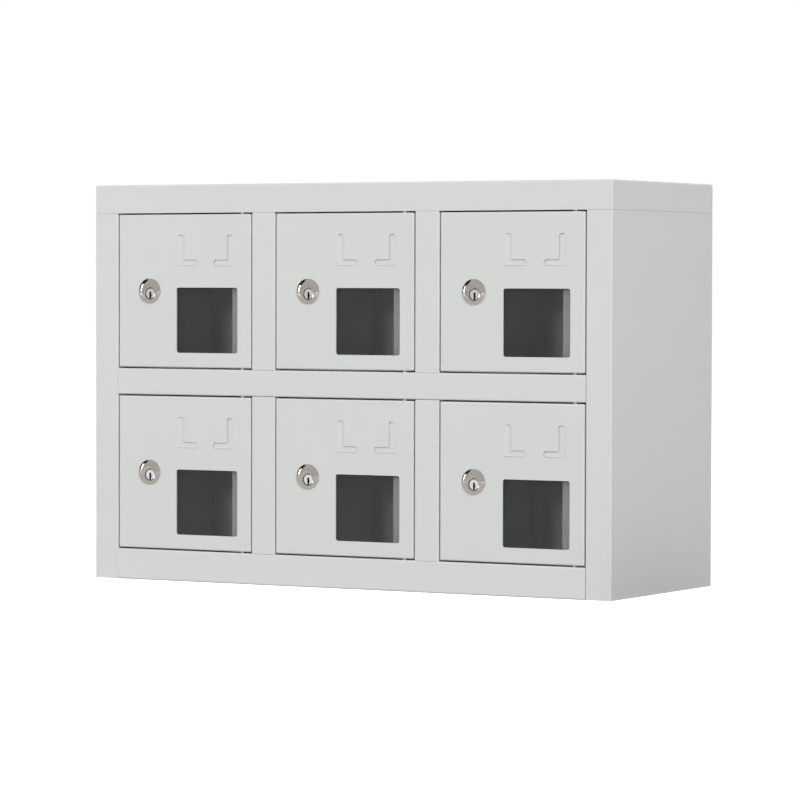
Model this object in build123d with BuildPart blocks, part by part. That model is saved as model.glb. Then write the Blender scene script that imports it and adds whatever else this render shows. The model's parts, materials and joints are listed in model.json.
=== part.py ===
from build123d import *
import os

# Six-door phone locker: a carcass folded from steel sheet, with two rows of three pan doors.
# Each door turns on two pivot pins near its right edge and has a clear window and a cam lock.
# Millimetres. X runs to the right, Y to the back and Z up. The origin is on the floor, in the
# middle of the carcass's footprint.

# Carcass
WIDTH = 515.0
DEPTH = 195.0
HEIGHT = 350.0
SHEET = 1.0  # thickness of the steel
FOLD = 0.3  # inner radius of a fold
STILE = 24.0  # front face at either side
MULLION = 23.5  # front face between two columns
TOP_RAIL = 25.0
MID_RAIL = 23.0
BOTTOM_RAIL = 27.0
SEAM = 0.15  # open joint between two pieces on an outer face
CORNER_GAP = 0.1  # keeps an inner piece's corner clear of a fold
REAR_FLANGE = 12.0  # folded edge of a side panel or partition at the back
WELD_FLANGE = 12.0  # upturned edge of the floor, downturned edge of the shelf
TONGUE = 14.0  # reach of a side panel inside the cap
STOP_WIDTH = 6.0  # lip that a closed door rests on
STOP_MARGIN = 6.0  # lip's distance from the ends of the opening
WALL_HOLE = 7.0  # diameter of a wall fixing hole

# Doors
COLUMNS = ("left", "middle", "right")
ROWS = ("lower", "upper")
DOOR_GAP = 1.3  # all round a closed door
DOOR_DEPTH = 15.0
DOOR_SHEET = 1.0
DOOR_RETURN = 27.3  # width of the return behind the hinge edge
STOP_GAP = 0.3  # from a closed door to its stop
WINDOW_CORNER = 2.2
HINGE_MARGIN = 13.4  # from the window to the door's hinge edge
LOWER_MARGIN = 13.0  # and to its lower edge
LOCK_MARGIN = 28.0  # from the lock's axis to the window
PANE = 2.0
PANE_LAP = 5.0  # overlap of the pane and the door, all round
RETAINER_FOOT = 5.0  # width welded to the door
RETAINER_LIP = 3.5  # lap over the pane
RETAINER_SPACE = 1.0  # between the ends of two retainers

# Label guides, two angles sheared on their inner side and pressed back from the door's face
GUIDE_SPAN = 58.0  # over both guides
GUIDE_SHIFT = 1.35  # from the window's middle towards the lock
GUIDE_HEIGHT = 27.1
GUIDE_LENGTH = 20.8  # of the lower leg
GUIDE_RIB = 6.7  # width of the upright leg
GUIDE_FOOT = 5.3  # height of the lower leg
GUIDE_DROP = 18.2  # top of the guides below the door's upper edge
GUIDE_RISE = 19.1  # foot of the guides above the window
GUIDE_DEPTH = 0.7  # pressed back by
GUIDE_SLOPE = 2.6  # width of the sloped outer side
GUIDE_SLIT = 0.2  # all round the sheared sides
GUIDE_ROUND = 2.4

# Pivot pins
HINGE_INSET = 10.4  # pin's axis from the door's hinge edge
HINGE_DEPTH = 4.5  # and from its front face
PIN_SHANK = 4.0
PIN_TIP = 3.0
PIN_TIP_LENGTH = 5.0
PIN_HEAD = 5.4
PIN_HEAD_HEIGHT = 1.2
PIN_FIT = 0.05  # radial clearance
END_PLAY = 0.1  # between a pin's shoulder and the door

# Cam lock
LOCK_INSET = 32.5  # lock's axis from the door's free edge
BEZEL = 22.0
BEZEL_HEIGHT = 2.0
BEZEL_EDGE = 0.5  # height at its outer edge
CROWN = 11.0  # flat middle of the bezel
BARREL = 18.0
BARREL_FLATS = 16.0
BARREL_FIT = 0.2  # radial clearance in the door
THREAD_FIT = 0.05
NUT_ACROSS = 24.0
NUT_HEIGHT = 4.0
NUT_EDGE = 0.8
PLUG = 10.0
PLUG_STEM = 8.6
PLUG_HEAD = 2.6  # length of the wide end
PLUG_DROP = 2.3  # plug's axis below the lock's
PLUG_SHIFT = 0.8  # and to the right of it
PLUG_SUNK = 1.6  # plug's end behind the bezel's crown
PLUG_EDGE = 0.9
PLUG_FIT = 0.05  # radial running clearance
BORE_MOUTH = 11.6
BORE_BEVEL = 0.75
DRIVE = 6.0  # square that carries the cam
DRIVE_FIT = 0.05
DIMPLE = 7.4  # hollow that guides the key
DIMPLE_DEPTH = 0.65
KEYWAY_WIDTH = 1.9
KEYWAY_HEIGHT = 6.2
KEYWAY_DROP = 1.4  # keyway's middle below the plug's axis
KEYWAY_DEPTH = 11.0
KEYWAY_STEP = 0.8
CAM_THICKNESS = 2.0
CAM_LENGTH = 36.0
CAM_HUB = 15.0
CAM_TIP = 11.0
CAM_GAP = 0.7  # from the stop to the cam
CAM_PLAY = 0.2  # from the barrel to the cam
SCREW = 4.0
SCREW_LENGTH = 7.0
SCREW_FIT = 0.02
SCREW_HEAD = 8.0
SCREW_HEAD_HEIGHT = 2.2
SCREW_EDGE = 0.5
CROSS_WIDTH = 1.0
CROSS_LENGTH = 4.4
CROSS_DEPTH = 1.2

# Places that follow from the sizes above
front = -DEPTH / 2
back = DEPTH / 2
outer_fold = SHEET + FOLD
corner_room = FOLD + CORNER_GAP
inner_half = WIDTH / 2 - SHEET
rail_half = WIDTH / 2 - STILE - SEAM / 2
panel_front = back - 2 * SHEET
return_depth = DOOR_DEPTH + STOP_GAP
return_end = front + return_depth
stop_back = return_end + SHEET
carcass_top = HEIGHT - TOP_RAIL
opening_width = (WIDTH - 2 * STILE - (len(COLUMNS) - 1) * MULLION) / len(COLUMNS)
opening_height = (carcass_top - BOTTOM_RAIL - (len(ROWS) - 1) * MID_RAIL) / len(ROWS)
column_pitch = opening_width + MULLION
row_pitch = opening_height + MID_RAIL
column_starts = [STILE - WIDTH / 2 + column_pitch * i for i in range(len(COLUMNS))]
row_starts = [BOTTOM_RAIL + row_pitch * i for i in range(len(ROWS))]
shelf_top = row_starts[1]
mid_rail_bottom = shelf_top - MID_RAIL

# Places on a door, from the lower left front corner of its opening
door_width = opening_width - 2 * DOOR_GAP
door_height = opening_height - 2 * DOOR_GAP
door_right = opening_width - DOOR_GAP
door_return_bottom = DOOR_GAP + DOOR_SHEET + corner_room
door_return_top = opening_height - door_return_bottom
hinge_x = door_right - HINGE_INSET
lock_x = DOOR_GAP + LOCK_INSET
guide_z = opening_height - DOOR_GAP - GUIDE_DROP - GUIDE_HEIGHT
window_width = door_width - LOCK_INSET - LOCK_MARGIN - HINGE_MARGIN
window_height = guide_z - GUIDE_RISE - DOOR_GAP - LOWER_MARGIN
window_x = door_right - HINGE_MARGIN - window_width / 2
window_z = DOOR_GAP + LOWER_MARGIN + window_height / 2
guide_x = window_x - GUIDE_SHIFT
guide_back = GUIDE_DEPTH + DOOR_SHEET
pane_width = window_width + 2 * PANE_LAP
pane_height = window_height + 2 * PANE_LAP
lock_z = opening_height / 2
plug_x = lock_x + PLUG_SHIFT
plug_z = lock_z - PLUG_DROP
cam_front = return_depth + SHEET + CAM_GAP
barrel_end = cam_front - CAM_PLAY
plug_front = PLUG_SUNK - BEZEL_HEIGHT
hinge_points = [(x + hinge_x, front + HINGE_DEPTH) for x in column_starts]


def folded_sheet(points, radii, side, thickness=SHEET):
    """Section of a sheet folded along points, lying to one side of them."""
    with BuildSketch() as section:
        with BuildLine():
            FilletPolyline(*points, radius=radii)
            offset(amount=thickness, side=side)
        make_face()
    return section.sketch


def block(low, high, mode=Mode.ADD):
    """Box between two corners, for the builder it is called in."""
    size = [b - a for a, b in zip(low, high)]
    with Locations(tuple((a + b) / 2 for a, b in zip(low, high))):
        Box(*size, mode=mode)


def stop_lips(edge, row_indices):
    """Lips behind the lock-side edge of the given rows' openings."""
    for row in row_indices:
        low = row_starts[row] + STOP_MARGIN
        high = row_starts[row] + opening_height - STOP_MARGIN
        block((edge - SHEET, return_end, low), (edge + STOP_WIDTH, stop_back, high))


def pin_holes(z, thickness):
    """Holes for one row of pivot pins in a sheet whose lower face is at z."""
    with BuildSketch(Plane.XY.offset(z)) as holes:
        with Locations(*hinge_points):
            Circle(PIN_SHANK / 2 + PIN_FIT)
    extrude(holes.sketch, amount=thickness, mode=Mode.SUBTRACT)


def save(part, name):
    """Label a finished piece and write its STEP file."""
    part.label = name
    export_step(part, f"parts/{name}.step")


os.makedirs("parts", exist_ok=True)

# Top cap: a shallow tray, upside down, with a return behind its front edge for the pins
with BuildPart() as top_cap:
    with BuildSketch(Plane.XY.offset(carcass_top)):
        Rectangle(WIDTH, DEPTH)
    extrude(amount=TOP_RAIL)
    fillet(top_cap.edges().filter_by(Axis.Z), outer_fold)
    fillet(top_cap.faces().sort_by(Axis.Z)[-1].edges(), outer_fold)
    offset(amount=-SHEET, openings=top_cap.faces().sort_by(Axis.Z)[0])
    block(
        (SHEET + CORNER_GAP - inner_half, front + SHEET / 2, carcass_top),
        (inner_half - SHEET - CORNER_GAP, return_end, carcass_top + SHEET),
    )
    pin_holes(carcass_top, SHEET)
save(top_cap.part, "top_cap")


def side_panel(side, has_stops):
    """Side with its front stile and rear flange. side is -1 on the left and 1 on the right."""
    edge = side * WIDTH / 2
    stile_edge = side * (WIDTH / 2 - STILE)
    section = folded_sheet(
        [
            (edge - side * REAR_FLANGE, back),
            (edge, back),
            (edge, front),
            (stile_edge, front),
            (stile_edge, return_end),
        ],
        outer_fold,
        Side.RIGHT if side > 0 else Side.LEFT,
    )
    wall = sorted((side * (inner_half - SHEET), side * inner_half))
    fold_zone = sorted((stile_edge - side * SHEET, stile_edge + side * (SHEET + FOLD)))
    flange_zone = sorted((edge - side * (REAR_FLANGE + SHEET), side * inner_half))
    with BuildPart() as panel:
        with BuildSketch(Plane.XY):
            add(section)
        extrude(amount=carcass_top - SEAM)
        block(
            (wall[0], front + SHEET + corner_room, carcass_top - TONGUE / 2),
            (wall[1], panel_front - CORNER_GAP, carcass_top + TONGUE),
        )
        block(
            (fold_zone[0], front + SHEET, 0),
            (fold_zone[1], return_end + SHEET, SHEET),
            Mode.SUBTRACT,
        )
        block(
            (flange_zone[0], back - SHEET, 0),
            (flange_zone[1], back, BOTTOM_RAIL + SEAM),
            Mode.SUBTRACT,
        )
        if has_stops:
            stop_lips(stile_edge, range(len(ROWS)))
    return panel.part


save(side_panel(-1, True), "left_side_panel")
save(side_panel(1, False), "right_side_panel")

# Bottom pan: floor, front rail with a return for the pins, weld flanges and a rear flange
with BuildPart() as bottom_pan:
    with BuildSketch(Plane.YZ.offset(corner_room - inner_half)):
        add(
            folded_sheet(
                [
                    (return_end, BOTTOM_RAIL),
                    (front, BOTTOM_RAIL),
                    (front, 0),
                    (back, 0),
                    (back, BOTTOM_RAIL),
                ],
                outer_fold,
                Side.LEFT,
            )
        )
    extrude(amount=2 * (inner_half - corner_room))
    for side in (-1, 1):
        ends = sorted((side * rail_half, side * WIDTH / 2))
        block((ends[0], front, 0), (ends[1], front + SHEET, BOTTOM_RAIL), Mode.SUBTRACT)
        block((ends[0], front, SHEET), (ends[1], stop_back, BOTTOM_RAIL), Mode.SUBTRACT)
        wall = sorted((side * (inner_half - SHEET), side * inner_half))
        block((wall[0], stop_back, 0), (wall[1], panel_front, WELD_FLANGE))
    pin_holes(BOTTOM_RAIL - SHEET, SHEET)
save(bottom_pan.part, "bottom_pan")

# Middle shelf: plate, middle rail and the return that carries the lower doors' upper pins
with BuildPart() as middle_shelf:
    with BuildSketch(Plane.YZ.offset(corner_room - inner_half)):
        add(
            folded_sheet(
                [
                    (panel_front, shelf_top),
                    (front, shelf_top),
                    (front, mid_rail_bottom),
                    (return_end, mid_rail_bottom),
                ],
                outer_fold,
                Side.LEFT,
            )
        )
    extrude(amount=2 * (inner_half - corner_room))
    for side in (-1, 1):
        ends = sorted((side * rail_half, side * WIDTH / 2))
        block((ends[0], front, mid_rail_bottom), (ends[1], stop_back, shelf_top), Mode.SUBTRACT)
        wall = sorted((side * (inner_half - SHEET), side * inner_half))
        block((wall[0], stop_back, shelf_top - WELD_FLANGE), (wall[1], panel_front, shelf_top))
    pin_holes(shelf_top - SHEET, SHEET)
    pin_holes(mid_rail_bottom, SHEET)
save(middle_shelf.part, "middle_shelf")

# Back panel, with a wall fixing hole behind each of the four corner compartments
with BuildPart() as back_panel:
    block(
        (corner_room - inner_half, panel_front, SHEET + corner_room),
        (inner_half - corner_room, back - SHEET, HEIGHT - SHEET - corner_room),
    )
    with BuildSketch(Plane.XZ.offset(-panel_front)):
        for x in (column_starts[0], column_starts[-1]):
            for z in row_starts:
                with Locations((x + opening_width / 2, z + opening_height / 2)):
                    Circle(WALL_HOLE / 2)
    extrude(amount=-SHEET, mode=Mode.SUBTRACT)
save(back_panel.part, "back_panel")


def partition(column, row):
    """Mullion and web, in one folded sheet, to the right of a column."""
    left = column_starts[column] + opening_width
    right = left + MULLION
    web = (left + right - SHEET) / 2
    is_top = row == len(ROWS) - 1
    low = row_starts[row] if is_top else SHEET
    high = HEIGHT - SHEET if is_top else shelf_top - SHEET
    rail_above = row_starts[row] + opening_height
    with BuildPart() as folded:
        with BuildSketch(Plane.XY.offset(low)):
            add(
                folded_sheet(
                    [
                        (right, return_end),
                        (right, front),
                        (left, front),
                        (left, stop_back),
                        (web, stop_back),
                        (web, panel_front),
                        (web + REAR_FLANGE, panel_front),
                    ],
                    (outer_fold, outer_fold, outer_fold, FOLD, outer_fold),
                    Side.RIGHT,
                )
            )
        extrude(amount=high - low)
        block(
            (left, front, rail_above - SEAM),
            (right, return_end, high),
            Mode.SUBTRACT,
        )
        if not is_top:
            block((left, front, low), (right, return_end, row_starts[row]), Mode.SUBTRACT)
        stop_lips(right, [row])
    return folded.part


for row, row_name in enumerate(ROWS):
    for column in range(len(COLUMNS) - 1):
        save(partition(column, row), f"{row_name}_{COLUMNS[column]}_partition")

# One pivot pin, from the outer face of the sheet that holds it, pointing up
with BuildPart() as pivot_pin:
    with BuildSketch(Plane.XY.offset(-SHEET - PIN_HEAD_HEIGHT)):
        Circle(PIN_HEAD / 2)
    extrude(amount=PIN_HEAD_HEIGHT)
    with BuildSketch(Plane.XY.offset(-SHEET)):
        Circle(PIN_SHANK / 2)
    extrude(amount=SHEET + DOOR_GAP - END_PLAY)
    with BuildSketch(Plane.XY.offset(DOOR_GAP - END_PLAY)):
        Circle(PIN_TIP / 2)
    extrude(amount=PIN_TIP_LENGTH)
    fillet(pivot_pin.edges().sort_by(Axis.Z)[-1], PIN_TIP / 6)

with BuildPart() as hinge_pins:
    for z in row_starts:
        for x, y in hinge_points:
            add(pivot_pin.part.moved(Location((x, y, z))))
            add(pivot_pin.part.moved(Location((x, y, z + opening_height), (180, 0, 0))))
save(hinge_pins.part, "hinge_pins")


def guide_outline(side, inset):
    """One label guide's outline, with all but its outer edge moved in by inset."""
    outer = GUIDE_SPAN / 2
    rib = outer - GUIDE_RIB + inset
    foot_end = outer - GUIDE_LENGTH + inset
    foot = GUIDE_FOOT - inset
    top = GUIDE_HEIGHT - inset
    corners = [(outer, inset), (outer, top), (rib, top), (rib, foot), (foot_end, foot), (foot_end, inset)]
    rounded = [(outer, top), (rib, top), (foot_end, foot), (foot_end, inset)]
    with BuildSketch() as outline:
        with BuildLine():
            Polyline(*[(guide_x + side * x, guide_z + z) for x, z in corners], close=True)
        make_face()
        marks = [Vector(guide_x + side * x, guide_z + z) for x, z in rounded]
        picked = [v for v in outline.vertices() if min((v.center() - m).length for m in marks) < 0.01]
        fillet(picked, GUIDE_ROUND - inset)
    return outline.sketch


def guide_metal(side):
    """The metal of one label guide, pressed back but still joined to the face at its outer side."""
    outer = GUIDE_SPAN / 2
    flat = outer - GUIDE_SLOPE
    end = outer - GUIDE_LENGTH
    section = [
        (outer, 0),
        (flat, GUIDE_DEPTH),
        (end, GUIDE_DEPTH),
        (end, guide_back),
        (flat, guide_back),
        (outer, DOOR_SHEET),
    ]
    with BuildPart() as guide:
        with BuildSketch(Plane.XY.offset(guide_z)):
            with BuildLine():
                Polyline(*[(guide_x + side * x, y) for x, y in section], close=True)
            make_face()
        extrude(amount=GUIDE_HEIGHT)
        with BuildSketch(Plane.XZ):
            add(guide_outline(side, GUIDE_SLIT))
        extrude(amount=-guide_back, mode=Mode.INTERSECT)
    return guide.part


# Door panel: a pan that is open at the back but for a return along its hinge side, made from
# the lower left corner of its opening
with BuildPart() as door_panel:
    with BuildSketch(Plane.XZ):
        with Locations((opening_width / 2, opening_height / 2)):
            Rectangle(door_width, door_height)
    extrude(amount=-DOOR_DEPTH)
    fillet(door_panel.edges().filter_by(Axis.Y), DOOR_SHEET + FOLD)
    fillet(door_panel.faces().sort_by(Axis.Y)[0].edges(), DOOR_SHEET + FOLD)
    offset(amount=-DOOR_SHEET, openings=door_panel.faces().sort_by(Axis.Y)[-1])
    block(
        (door_right - DOOR_SHEET, DOOR_DEPTH / 2, door_return_bottom),
        (door_right, DOOR_DEPTH, door_return_top),
        Mode.SUBTRACT,
    )
    with BuildSketch(Plane.XY.offset(door_return_bottom)):
        add(
            folded_sheet(
                [
                    (door_right, DOOR_DEPTH / 2),
                    (door_right, DOOR_DEPTH),
                    (door_right - DOOR_RETURN, DOOR_DEPTH),
                ],
                DOOR_SHEET + FOLD,
                Side.LEFT,
                DOOR_SHEET,
            )
        )
    extrude(amount=door_return_top - door_return_bottom)
    for side in (-1, 1):
        with BuildSketch(Plane.XZ):
            add(guide_outline(side, 0))
        extrude(amount=-DOOR_SHEET, mode=Mode.SUBTRACT)
        add(guide_metal(side))
    with BuildSketch(Plane.XZ.offset(-DOOR_SHEET)):
        with Locations((window_x, window_z)):
            RectangleRounded(window_width, window_height, WINDOW_CORNER)
    extrude(amount=DOOR_SHEET, mode=Mode.SUBTRACT)
    with BuildSketch(Plane.XZ.offset(-DOOR_SHEET)):
        with Locations((lock_x, lock_z)):
            Circle(BARREL / 2 + BARREL_FIT)
            Rectangle(BARREL_FLATS + 2 * BARREL_FIT, BEZEL, mode=Mode.INTERSECT)
    extrude(amount=DOOR_SHEET, mode=Mode.SUBTRACT)
    with BuildSketch(Plane.XY):
        with Locations((hinge_x, HINGE_DEPTH)):
            Circle(PIN_TIP / 2 + PIN_FIT)
    extrude(amount=opening_height, mode=Mode.SUBTRACT)

# Window pane, flat against the back of the door's face
with BuildPart() as window_pane:
    with BuildSketch(Plane.XZ.offset(-DOOR_SHEET)):
        with Locations((window_x, window_z)):
            Rectangle(pane_width, pane_height)
    extrude(amount=-PANE)


# Stepped strip that holds an edge of the pane: the edge is at 0, the pane beyond it at x > 0
retainer_step = -corner_room - SHEET
retainer_section = folded_sheet(
    [
        (retainer_step - RETAINER_FOOT, DOOR_SHEET + SHEET),
        (retainer_step, DOOR_SHEET + SHEET),
        (retainer_step, DOOR_SHEET + PANE + SHEET),
        (RETAINER_LIP, DOOR_SHEET + PANE + SHEET),
    ],
    (FOLD, outer_fold),
    Side.RIGHT,
)

# Pane retainers, one strip at either side and one below
with BuildPart() as pane_retainers:
    pane_left = window_x - pane_width / 2
    pane_right = window_x + pane_width / 2
    pane_bottom = window_z - pane_height / 2
    lower_start = pane_left + RETAINER_LIP + RETAINER_SPACE
    with BuildSketch(Plane((pane_right, 0, pane_bottom), x_dir=(-1, 0, 0), z_dir=(0, 0, -1))):
        add(retainer_section)
    extrude(amount=-pane_height)
    with BuildSketch(Plane((pane_left, 0, pane_bottom), x_dir=(1, 0, 0), z_dir=(0, 0, 1))):
        add(retainer_section)
    extrude(amount=pane_height)
    with BuildSketch(Plane((lower_start, 0, pane_bottom), x_dir=(0, 0, 1), z_dir=(-1, 0, 0))):
        add(retainer_section)
    extrude(amount=-(pane_width - 2 * (RETAINER_LIP + RETAINER_SPACE)))


def hollow(place, mouth, floor, depth):
    """Round hollow with a sloping side, sunk towards the back, for the builder it is called in."""
    with Locations(Location(place, (-90, 0, 0))):
        Cone(mouth / 2, floor / 2, depth, align=(Align.CENTER, Align.CENTER, Align.MIN), mode=Mode.SUBTRACT)


# Lock housing: crowned bezel and flatted barrel, with the plug's bore off its middle
with BuildPart() as lock_housing:
    with BuildSketch(Plane((lock_x, 0, lock_z), x_dir=(1, 0, 0), z_dir=(0, 0, 1))):
        with BuildLine():
            Line((BEZEL / 2, -BEZEL_EDGE), (BEZEL / 2, 0))
            Polyline((BEZEL / 2, 0), (0, 0), (0, -BEZEL_HEIGHT), (CROWN / 2, -BEZEL_HEIGHT))
            TangentArc((CROWN / 2, -BEZEL_HEIGHT), (BEZEL / 2, -BEZEL_EDGE), tangent=(1, 0))
        make_face()
    revolve(axis=Axis((lock_x, 0, lock_z), (0, 1, 0)))
    with BuildSketch(Plane.XZ):
        with Locations((lock_x, lock_z)):
            Circle(BARREL / 2)
            Rectangle(BARREL_FLATS, BEZEL, mode=Mode.INTERSECT)
    extrude(amount=-barrel_end)
    hollow((plug_x, -BEZEL_HEIGHT, plug_z), BORE_MOUTH, PLUG + 2 * PLUG_FIT, BORE_BEVEL)
    with BuildSketch(Plane.XZ.offset(BEZEL_HEIGHT)):
        with Locations((plug_x, plug_z)):
            Circle(PLUG / 2 + PLUG_FIT)
    extrude(amount=-(BEZEL_HEIGHT + plug_front + PLUG_HEAD), mode=Mode.SUBTRACT)
    with BuildSketch(Plane.XZ.offset(BEZEL_HEIGHT)):
        with Locations((plug_x, plug_z)):
            Circle(PLUG_STEM / 2 + PLUG_FIT)
    extrude(amount=-(BEZEL_HEIGHT + barrel_end), mode=Mode.SUBTRACT)

# Hexagonal nut that clamps the lock to the door
with BuildPart() as lock_nut:
    with BuildSketch(Plane.XZ.offset(-DOOR_SHEET)):
        with Locations((lock_x, lock_z)):
            RegularPolygon(NUT_ACROSS / 2, 6, major_radius=False)
    extrude(amount=-NUT_HEIGHT)
    chamfer(lock_nut.faces().sort_by(Axis.Y)[-1].edges(), NUT_EDGE)
    with BuildSketch(Plane.XZ.offset(-DOOR_SHEET)):
        with Locations((lock_x, lock_z)):
            Circle(BARREL / 2 + THREAD_FIT)
    extrude(amount=-NUT_HEIGHT, mode=Mode.SUBTRACT)

# Plug: keyed front end, stem, and the square that drives the cam
with BuildPart() as lock_plug:
    with BuildSketch(Plane.XZ.offset(-plug_front)):
        with Locations((plug_x, plug_z)):
            Circle(PLUG / 2)
    extrude(amount=-(PLUG_HEAD - END_PLAY))
    chamfer(lock_plug.faces().sort_by(Axis.Y)[0].edges(), PLUG_EDGE)
    hollow((plug_x, plug_front, plug_z), DIMPLE, 0, DIMPLE_DEPTH)
    with BuildSketch(Plane.XZ.offset(-plug_front)):
        with Locations((plug_x, plug_z)):
            Circle(PLUG_STEM / 2)
    extrude(amount=-(cam_front - plug_front))
    with BuildSketch(Plane.XZ.offset(-cam_front)):
        with Locations((plug_x, plug_z)):
            Rectangle(DRIVE, DRIVE)
    extrude(amount=-CAM_THICKNESS)
    with BuildSketch(Plane.XZ.offset(-plug_front)):
        with Locations((plug_x, plug_z - KEYWAY_DROP)):
            Rectangle(KEYWAY_WIDTH, KEYWAY_HEIGHT)
        with Locations((plug_x + KEYWAY_WIDTH / 2, plug_z - KEYWAY_DROP)):
            Rectangle(2 * KEYWAY_STEP, KEYWAY_STEP)
    extrude(amount=-KEYWAY_DEPTH, mode=Mode.SUBTRACT)
    with BuildSketch(Plane.XZ.offset(-cam_front - CAM_THICKNESS)):
        with Locations((plug_x, plug_z)):
            Circle(SCREW / 2 + SCREW_FIT)
    extrude(amount=SCREW_LENGTH, mode=Mode.SUBTRACT)

# Cam, hanging down while the lock is open
with BuildPart() as lock_cam:
    with BuildSketch(Plane.XZ.offset(-cam_front)):
        with Locations((plug_x, plug_z)):
            Circle(CAM_HUB / 2)
        with Locations((plug_x, plug_z - CAM_LENGTH + CAM_TIP / 2)):
            Circle(CAM_TIP / 2)
        make_hull()
        with Locations((plug_x, plug_z)):
            Rectangle(DRIVE + 2 * DRIVE_FIT, DRIVE + 2 * DRIVE_FIT, mode=Mode.SUBTRACT)
    extrude(amount=-CAM_THICKNESS)

# Screw that holds the cam on the plug
with BuildPart() as cam_screw:
    with BuildSketch(Plane.XZ.offset(-cam_front - CAM_THICKNESS)):
        with Locations((plug_x, plug_z)):
            Circle(SCREW_HEAD / 2)
    extrude(amount=-SCREW_HEAD_HEIGHT)
    fillet(cam_screw.faces().sort_by(Axis.Y)[-1].edges(), SCREW_EDGE)
    with BuildSketch(Plane.XZ.offset(-cam_front - CAM_THICKNESS)):
        with Locations((plug_x, plug_z)):
            Circle(SCREW / 2)
    extrude(amount=SCREW_LENGTH)
    with BuildSketch(Plane.XZ.offset(-cam_front - CAM_THICKNESS - SCREW_HEAD_HEIGHT)):
        with Locations((plug_x, plug_z)):
            Rectangle(CROSS_LENGTH, CROSS_WIDTH)
            Rectangle(CROSS_WIDTH, CROSS_LENGTH)
    extrude(amount=CROSS_DEPTH, mode=Mode.SUBTRACT)

# Six doors, each with its own copy of every piece
door_pieces = {
    "door_panel": door_panel.part,
    "window_pane": window_pane.part,
    "pane_retainers": pane_retainers.part,
    "lock_housing": lock_housing.part,
    "lock_nut": lock_nut.part,
    "lock_plug": lock_plug.part,
    "lock_cam": lock_cam.part,
    "cam_screw": cam_screw.part,
}
for row_name, z in zip(ROWS, row_starts):
    for column_name, x in zip(COLUMNS, column_starts):
        for piece_name, piece in door_pieces.items():
            save(piece.moved(Location((x, front, z))), f"{row_name}_{column_name}_{piece_name}")
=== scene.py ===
"""Looks of a six-door phone locker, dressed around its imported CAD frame.

The CAD nodes keep their shapes and only take on materials. Around them stands a plain studio: soft
lights, even surroundings, a pale floor and the camera.
"""

from __future__ import annotations

import json
import logging
import math
from dataclasses import dataclass
from enum import Enum

import bpy
from mathutils import Matrix, Vector


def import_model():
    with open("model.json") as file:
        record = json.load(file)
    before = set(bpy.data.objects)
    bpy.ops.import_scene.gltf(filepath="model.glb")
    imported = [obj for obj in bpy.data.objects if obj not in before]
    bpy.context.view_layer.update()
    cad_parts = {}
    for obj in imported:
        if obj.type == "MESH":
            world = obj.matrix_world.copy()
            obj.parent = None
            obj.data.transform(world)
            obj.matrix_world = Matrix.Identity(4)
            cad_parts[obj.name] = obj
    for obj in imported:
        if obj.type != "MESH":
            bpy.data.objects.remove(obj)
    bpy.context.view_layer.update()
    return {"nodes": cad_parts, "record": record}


log = logging.getLogger("phone_locker")

MM = 0.001
WHITE = "#FFFFFF"


class Slot(Enum):
    """Material slots of the record that the CAD nodes name."""

    FRAME_COAT = "frame_coat"
    DOOR_COAT = "door_coat"
    CLEAR_PLASTIC = "clear_plastic"
    LOCK_NICKEL = "lock_nickel"
    PLUG_CHROME = "plug_chrome"
    ZINC_PLATE = "zinc_plate"


def linear(hex_colour: str) -> tuple[float, float, float, float]:
    """Turn an sRGB hex colour into linear light.

    Args:
        hex_colour: Six hex digits with a leading hash.

    Returns:
        Red, green, blue and an alpha of 1.
    """
    channels = []
    for start in (1, 3, 5):
        value = int(hex_colour[start : start + 2], 16) / 255
        channels.append(value / 12.92 if value <= 0.04045 else ((value + 0.055) / 1.055) ** 2.4)
    return (channels[0], channels[1], channels[2], 1.0)


def add_node(
    tree: bpy.types.NodeTree,
    kind: str,
    settings: dict[str, object] | None = None,
    values: dict[str, object] | None = None,
    links: dict[str, bpy.types.NodeSocket] | None = None,
) -> bpy.types.Node:
    """Add one node to a tree.

    Args:
        tree: The node tree to add to.
        kind: The node's type name.
        settings: Attributes of the node itself.
        values: Constants for its input sockets, by socket name.
        links: Output sockets that feed its inputs, by socket name.

    Returns:
        The new node.
    """
    node = tree.nodes.new(kind)
    for name, value in (settings or {}).items():
        setattr(node, name, value)
    for name, value in (values or {}).items():
        node.inputs[name].default_value = value
    for name, source in (links or {}).items():
        tree.links.new(source, node.inputs[name])
    return node


def empty_material(name: str) -> tuple[bpy.types.Material, bpy.types.Node]:
    """Make a material that holds nothing but its output.

    Args:
        name: The material's name.

    Returns:
        The material and its output node.
    """
    material = bpy.data.materials.new(name)
    material.use_nodes = True
    material.node_tree.nodes.clear()
    return material, add_node(material.node_tree, "ShaderNodeOutputMaterial")


def add_noise(
    tree: bpy.types.NodeTree, place: bpy.types.NodeSocket, spacing_mm: float, detail: float
) -> bpy.types.NodeSocket:
    """Add a noise texture of a real size.

    Args:
        tree: The node tree to add to.
        place: The coordinates, in metres.
        spacing_mm: How far apart its spots lie.
        detail: How many finer octaves it has.

    Returns:
        A socket with the noise, from 0 to 1.
    """
    values = {"Scale": 1 / (spacing_mm * MM), "Detail": detail}
    noise = add_node(tree, "ShaderNodeTexNoise", values=values, links={"Vector": place})
    return noise.outputs["Fac"]


def blend_colours(
    tree: bpy.types.NodeTree, first: str, second: str, factor: bpy.types.NodeSocket
) -> bpy.types.NodeSocket:
    """Blend two colours.

    Args:
        tree: The node tree to add to.
        first: Hex colour where the factor is 0.
        second: Hex colour where the factor is 1.
        factor: The socket that blends them.

    Returns:
        A socket with the blended colour.
    """
    mix = add_node(
        tree,
        "ShaderNodeMix",
        {"data_type": "RGBA"},
        {"A": linear(first), "B": linear(second)},
        {"Factor": factor},
    )
    return mix.outputs["Result"]


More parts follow.
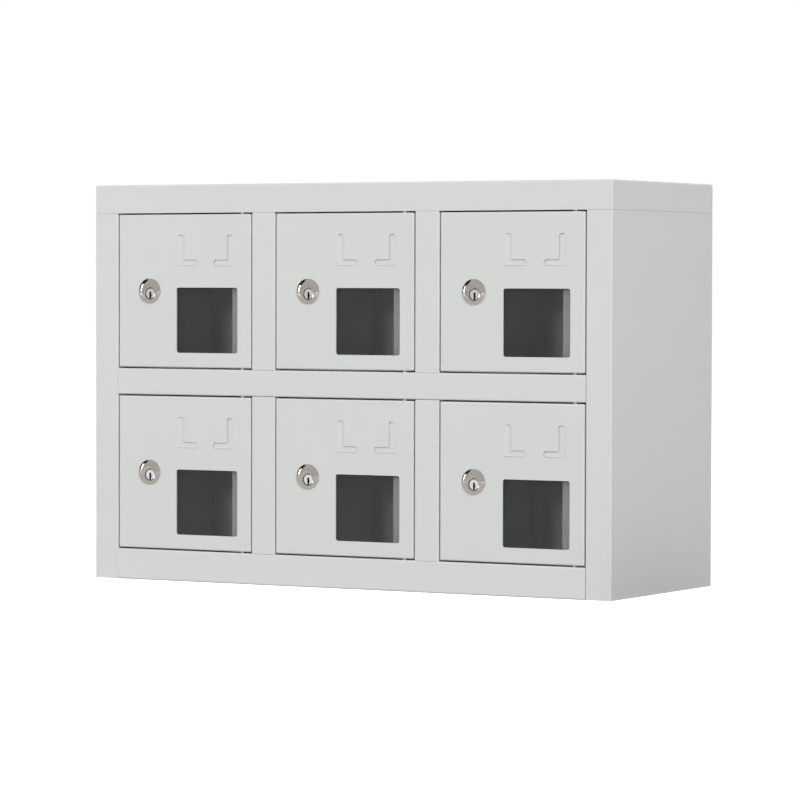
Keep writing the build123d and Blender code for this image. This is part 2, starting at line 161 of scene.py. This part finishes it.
@dataclass(frozen=True)
class PowderCoat:
    """Polyester powder coat, sprayed and baked on steel sheet.

    It gives the eye a smooth satin grey. A faint orange peel breaks up the highlights, and a weak
    mottle keeps the large faces from looking flat.
    """

    name: str
    colour: str
    mottle_colour: str
    roughness: float = 0.42
    index: float = 1.5  # refractive index of the resin
    peel_mm: float = 3.0  # real peel is about 1 mm apart, drawn coarser so that it shows
    peel_detail: float = 1.0
    peel_height_mm: float = 0.012
    mottle_mm: float = 90.0
    mottle_detail: float = 2.0

    def build(self) -> bpy.types.Material:
        """Make the coat's material.

        Returns:
            The finished material.
        """
        material, output = empty_material(self.name)
        tree = material.node_tree
        place = add_node(tree, "ShaderNodeTexCoord").outputs["Object"]
        mottle = add_noise(tree, place, self.mottle_mm, self.mottle_detail)
        bump = add_node(
            tree,
            "ShaderNodeBump",
            values={"Strength": 1.0, "Distance": self.peel_height_mm * MM},
            links={"Height": add_noise(tree, place, self.peel_mm, self.peel_detail)},
        )
        shader = add_node(
            tree,
            "ShaderNodeBsdfPrincipled",
            values={"Roughness": self.roughness, "IOR": self.index},
            links={
                "Base Color": blend_colours(tree, self.colour, self.mottle_colour, mottle),
                "Normal": bump.outputs["Normal"],
            },
        )
        tree.links.new(shader.outputs["BSDF"], output.inputs["Surface"])
        return material


@dataclass(frozen=True)
class ClearAcrylic:
    """Cast acrylic sheet, polished and clear, in the window of a door.

    It gives the eye a clean pane before a dark grey inside. The grey cast of its two faces stands
    in its alpha, and it has patches of haze and a little dust.
    """

    name: str
    colour: str
    alpha: float  # cast of the two faces
    dust_colour: str = "#D8D8D6"
    index: float = 1.49  # refractive index of acrylic
    roughness: float = 0.03
    hazy_roughness: float = 0.06
    haze_mm: float = 25.0
    haze_detail: float = 3.0
    dust_mm: float = 6.0  # specks about this far apart
    speck: float = 0.07  # size of a speck, as a share of that

    def build(self) -> bpy.types.Material:
        """Make the pane's material.

        Returns:
            The finished material.
        """
        material, output = empty_material(self.name)
        tree = material.node_tree
        place = add_node(tree, "ShaderNodeTexCoord").outputs["Object"]
        rough = add_node(
            tree,
            "ShaderNodeMapRange",
            values={"To Min": self.roughness, "To Max": self.hazy_roughness},
            links={"Value": add_noise(tree, place, self.haze_mm, self.haze_detail)},
        )
        specks = add_node(
            tree,
            "ShaderNodeTexVoronoi",
            values={"Scale": 1 / (self.dust_mm * MM)},
            links={"Vector": place},
        )
        dust = add_node(
            tree,
            "ShaderNodeMapRange",
            values={"From Min": self.speck, "From Max": 0.0},
            links={"Value": specks.outputs["Distance"]},
        )
        shader = add_node(
            tree,
            "ShaderNodeBsdfPrincipled",
            values={"IOR": self.index, "Alpha": self.alpha},
            links={
                "Base Color": blend_colours(
                    tree, self.colour, self.dust_colour, dust.outputs["Result"]
                ),
                "Roughness": rough.outputs["Result"],
            },
        )
        tree.links.new(shader.outputs["BSDF"], output.inputs["Surface"])
        return material


@dataclass(frozen=True)
class PlatedMetal:
    """Nickel, chrome or zinc plate on small turned and stamped pieces.

    It gives the eye a clean mirror where the roughness is low and a dull metal where it is high,
    with fine marks left by polishing.
    """

    name: str
    colour: str
    roughness: float
    mark_mm: float = 1.5
    mark_detail: float = 3.0
    mark_roughness: float = 0.04  # how much rougher a mark is

    def build(self) -> bpy.types.Material:
        """Make the plating's material.

        Returns:
            The finished material.
        """
        material, output = empty_material(self.name)
        tree = material.node_tree
        place = add_node(tree, "ShaderNodeTexCoord").outputs["Object"]
        rough = add_node(
            tree,
            "ShaderNodeMapRange",
            values={"To Min": self.roughness, "To Max": self.roughness + self.mark_roughness},
            links={"Value": add_noise(tree, place, self.mark_mm, self.mark_detail)},
        )
        shader = add_node(
            tree,
            "ShaderNodeBsdfPrincipled",
            values={"Base Color": linear(self.colour), "Metallic": 1.0},
            links={"Roughness": rough.outputs["Result"]},
        )
        tree.links.new(shader.outputs["BSDF"], output.inputs["Surface"])
        return material


FINISHES = {
    # light grey satin coats: the carcass, and the doors a touch greener
    Slot.FRAME_COAT: PowderCoat("powder_coat_frame", "#D6DADB", "#D2D7D8"),
    Slot.DOOR_COAT: PowderCoat("powder_coat_door", "#D5DAD9", "#D1D6D6"),
    # panes that leave the compartments dark grey
    Slot.CLEAR_PLASTIC: ClearAcrylic("clear_acrylic", "#58595B", 0.19),
    # warm mirror of the lock housings
    Slot.LOCK_NICKEL: PlatedMetal("polished_nickel", "#B9B3AC", 0.10),
    # cool bright mirror of the plugs
    Slot.PLUG_CHROME: PlatedMetal("bright_chrome", "#E4E8EE", 0.08),
    # dull pale metal of nuts, cams, screws and pins
    Slot.ZINC_PLATE: PlatedMetal("zinc_plate", "#C8C8C2", 0.30),
}


@dataclass
class Locker:
    """The CAD nodes of the locker, each dressed by its record's slot."""

    nodes: dict[str, bpy.types.Object]
    record: dict[str, object]

    def dress(self, materials: dict[Slot, bpy.types.Material]) -> None:
        """Give every node the material of its slot.

        Args:
            materials: The finished material of each slot.
        """
        for subpart in self.record["subparts"]:
            node = self.nodes[subpart["node"]]
            for slot in node.material_slots:
                slot.material = materials[Slot(subpart["material_slot"])]
            log.info("dressed %s", subpart["node"])


@dataclass(frozen=True)
class Softbox:
    """One rectangular studio light that the camera doesn't see."""

    name: str
    place: tuple[float, float, float]
    size: tuple[float, float]
    share: float  # what it adds to a matt white front, where full white is 1
    tint: str = WHITE
    mirrored: bool = True  # whether metal and satin coats mirror it

    def build(self, target: Vector) -> None:
        """Hang the light and aim it.

        Args:
            target: The point that it faces.
        """
        lamp = bpy.data.lights.new(self.name, "AREA")
        lamp.shape = "RECTANGLE"
        lamp.size, lamp.size_y = self.size
        lamp.color = linear(self.tint)[:3]
        holder = bpy.data.objects.new(self.name, lamp)
        bpy.context.scene.collection.objects.link(holder)
        holder.location = self.place
        holder.visible_camera = False
        holder.visible_glossy = self.mirrored
        reach = target - holder.location
        holder.rotation_euler = reach.to_track_quat("-Z", "Y").to_euler()
        lamp.energy = self.share * math.pi**2 * reach.length_squared * reach.length / abs(reach.y)


@dataclass(frozen=True)
class Studio:
    """Plain pale floor, soft lights, white surroundings and the camera, in metres."""

    lights: tuple[Softbox, ...] = (
        Softbox("right_softbox", (5.0, -3.0, 4.4), (2.2, 2.2), 0.27, "#FFFAF4", False),
        Softbox("left_softbox", (-2.72, -1.56, 0.56), (0.6, 1.0), 0.12, mirrored=False),
        # the white arc on each lock
        Softbox("left_glint", (-2.72, -1.56, 0.62), (0.42, 0.8), 0.05),
        Softbox("front_lamp", (0.9, -3.1, 0.6), (0.25, 0.25), 0.215, mirrored=False),
    )
    aim: tuple[float, float, float] = (0.0, 0.0, 0.175)  # middle of the locker

    ambient: float = 0.36
    mirrored: float = 0.75  # how bright metal sees the surroundings
    flag_side: tuple[float, float, float] = (-0.872, -0.321, 0.371)
    flag_edge: float = 0.92  # cosine of the angle from the flag's middle to its edge
    flag_blur: float = 0.02
    flag_dark: float = 0.02

    floor_size: float = 30.0
    paper: str = "#9C9C9B"  # as light bounces off it
    paper_shown: str = "#F9F9F9"
    paper_glow: float = 0.68
    shade: str = "#3E3830"
    shade_place: tuple[float, float] = (0.305, 0.0)
    shade_reach: tuple[float, float] = (0.08, 0.25)
    shade_full: float = 0.6  # full shade where the falloff has reached this

    camera_place: tuple[float, float, float] = (1.71805, -3.00662, 0.26293)
    camera_right: tuple[float, float, float] = (0.86821, 0.49620, 0.00218)
    camera_down: tuple[float, float, float] = (0.01656, -0.02458, -0.99956)
    camera_ahead: tuple[float, float, float] = (-0.49592, 0.86786, -0.02956)
    camera_sees: float = 100.0
    lens_mm: float = 176.67
    film_mm: float = 36.0

    def build(self) -> None:
        """Make the whole set."""
        for box in self.lights:
            box.build(Vector(self.aim))
        self.surround()
        self.lay_floor()
        self.place_camera()

    def looked_at(self, tree: bpy.types.NodeTree) -> bpy.types.NodeSocket:
        """Tell rays that show a thing from rays that only light by it.

        Args:
            tree: The node tree of the backdrop.

        Returns:
            A socket that is 1 for the camera, for mirroring metal and through clear plastic.
        """
        path = add_node(tree, "ShaderNodeLightPath")
        passed_on = add_node(tree, "ShaderNodeMath", {"operation": "MAXIMUM"})
        tree.links.new(path.outputs["Is Glossy Ray"], passed_on.inputs[0])
        tree.links.new(path.outputs["Is Transmission Ray"], passed_on.inputs[1])
        either = add_node(tree, "ShaderNodeMath", {"operation": "MAXIMUM"})
        tree.links.new(path.outputs["Is Camera Ray"], either.inputs[0])
        tree.links.new(passed_on.outputs["Value"], either.inputs[1])
        return either.outputs["Value"]

    def flagged(self, tree: bpy.types.NodeTree) -> bpy.types.NodeSocket:
        """Hang a dark round flag, to the left and slightly up, in what metal mirrors.

        Args:
            tree: The world's node tree.

        Returns:
            A socket with the brightness of the surroundings: the flag and its pale field for
            mirrored rays, 1 for all others.
        """
        nearness = add_node(
            tree,
            "ShaderNodeVectorMath",
            {"operation": "DOT_PRODUCT"},
            links={"Vector": add_node(tree, "ShaderNodeTexCoord").outputs["Generated"]},
        )
        nearness.inputs[1].default_value = self.flag_side
        flag = add_node(
            tree,
            "ShaderNodeMapRange",
            {"interpolation_type": "SMOOTHSTEP"},
            {
                "From Min": self.flag_edge,
                "From Max": self.flag_edge + self.flag_blur,
                "To Min": self.mirrored,
                "To Max": self.flag_dark,
            },
            {"Value": nearness.outputs["Value"]},
        )
        path = add_node(tree, "ShaderNodeLightPath")
        brightness = add_node(
            tree,
            "ShaderNodeMapRange",
            values={"To Min": 1.0},
            links={"Value": path.outputs["Is Glossy Ray"], "To Max": flag.outputs["Result"]},
        )
        return brightness.outputs["Result"]

    def surround(self) -> None:
        """Light everything evenly, from surroundings that look white."""
        world = bpy.data.worlds.new("studio")
        world.use_nodes = True
        bpy.context.scene.world = world
        tree = world.node_tree
        tree.nodes.clear()
        soft = add_node(
            tree,
            "ShaderNodeBackground",
            values={"Color": linear(WHITE), "Strength": self.ambient},
        )
        white = add_node(
            tree,
            "ShaderNodeBackground",
            values={"Color": linear(WHITE)},
            links={"Strength": self.flagged(tree)},
        )
        mix = add_node(tree, "ShaderNodeMixShader", links={"Fac": self.looked_at(tree)})
        tree.links.new(soft.outputs["Background"], mix.inputs[1])
        tree.links.new(white.outputs["Background"], mix.inputs[2])
        add_node(tree, "ShaderNodeOutputWorld", links={"Surface": mix.outputs["Shader"]})

    def shaded(self, tree: bpy.types.NodeTree) -> bpy.types.NodeSocket:
        """Shade an oval of floor beside the locker's right side, for all rays but the camera's.

        It darkens the foot of that side by what bounces up to it.

        Args:
            tree: The floor's node tree.

        Returns:
            A socket that is 0 on plain floor and 1 in full shade.
        """
        scale = [1 / reach for reach in self.shade_reach]
        shift = [-place * factor for place, factor in zip(self.shade_place, scale)]
        centred = add_node(
            tree,
            "ShaderNodeMapping",
            values={"Location": shift + [0.0], "Scale": scale + [1.0]},
            links={"Vector": add_node(tree, "ShaderNodeTexCoord").outputs["Object"]},
        )
        falloff = add_node(
            tree,
            "ShaderNodeTexGradient",
            {"gradient_type": "SPHERICAL"},
            links={"Vector": centred.outputs["Vector"]},
        )
        path = add_node(tree, "ShaderNodeLightPath")
        unseen = add_node(
            tree,
            "ShaderNodeMapRange",
            values={"To Min": 1.0, "To Max": 0.0},
            links={"Value": path.outputs["Is Camera Ray"]},
        )
        shade = add_node(
            tree,
            "ShaderNodeMapRange",
            values={"From Max": self.shade_full},
            links={"Value": falloff.outputs["Fac"], "To Max": unseen.outputs["Result"]},
        )
        return shade.outputs["Result"]

    def lay_floor(self) -> None:
        """Lay the floor: matt white paper.

        It gives the eye the same white as the surroundings, with the locker's shadow kept on it,
        and bounces less light than it shows.
        """
        bpy.ops.mesh.primitive_plane_add(size=self.floor_size)
        floor = bpy.context.object
        floor.name = "floor"
        material, output = empty_material("matt_white_paper")
        tree = material.node_tree
        shade = self.shaded(tree)
        bounced, shown = (
            add_node(
                tree,
                "ShaderNodeBsdfDiffuse",
                links={"Color": blend_colours(tree, colour, self.shade, shade)},
            )
            for colour in (self.paper, self.paper_shown)
        )
        path = add_node(tree, "ShaderNodeLightPath")
        strength = add_node(
            tree,
            "ShaderNodeMapRange",
            values={"To Max": self.paper_glow},
            links={"Value": path.outputs["Is Camera Ray"]},
        )
        glow = add_node(
            tree, "ShaderNodeEmission", links={"Strength": strength.outputs["Result"]}
        )
        lit = add_node(tree, "ShaderNodeAddShader")
        tree.links.new(shown.outputs["BSDF"], lit.inputs[0])
        tree.links.new(glow.outputs["Emission"], lit.inputs[1])
        mix = add_node(tree, "ShaderNodeMixShader", links={"Fac": self.looked_at(tree)})
        tree.links.new(bounced.outputs["BSDF"], mix.inputs[1])
        tree.links.new(lit.outputs["Shader"], mix.inputs[2])
        tree.links.new(mix.outputs["Shader"], output.inputs["Surface"])
        floor.data.materials.append(material)

    def place_camera(self) -> None:
        """Stand the camera before the locker's right front corner."""
        lens = bpy.data.cameras.new("camera")
        lens.lens = self.lens_mm
        lens.sensor_width = self.film_mm
        lens.clip_end = self.camera_sees
        camera = bpy.data.objects.new("camera", lens)
        bpy.context.scene.collection.objects.link(camera)
        axes = Matrix((self.camera_right, self.camera_down, self.camera_ahead)).transposed()
        axes.col[1].negate()
        axes.col[2].negate()
        camera.matrix_world = Matrix.Translation(self.camera_place) @ axes.to_4x4()
        bpy.context.scene.camera = camera


def main() -> None:
    """Load the frame, dress it, and set the studio around it."""
    logging.basicConfig(level=logging.INFO, format="%(name)s: %(message)s")
    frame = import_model()
    bpy.ops.object.select_all(action="DESELECT")
    bpy.context.scene.view_settings.view_transform = "Standard"
    materials = {slot: finish.build() for slot, finish in FINISHES.items()}
    Locker(frame["nodes"], frame["record"]).dress(materials)
    Studio().build()


if __name__ == "__main__":
    main()
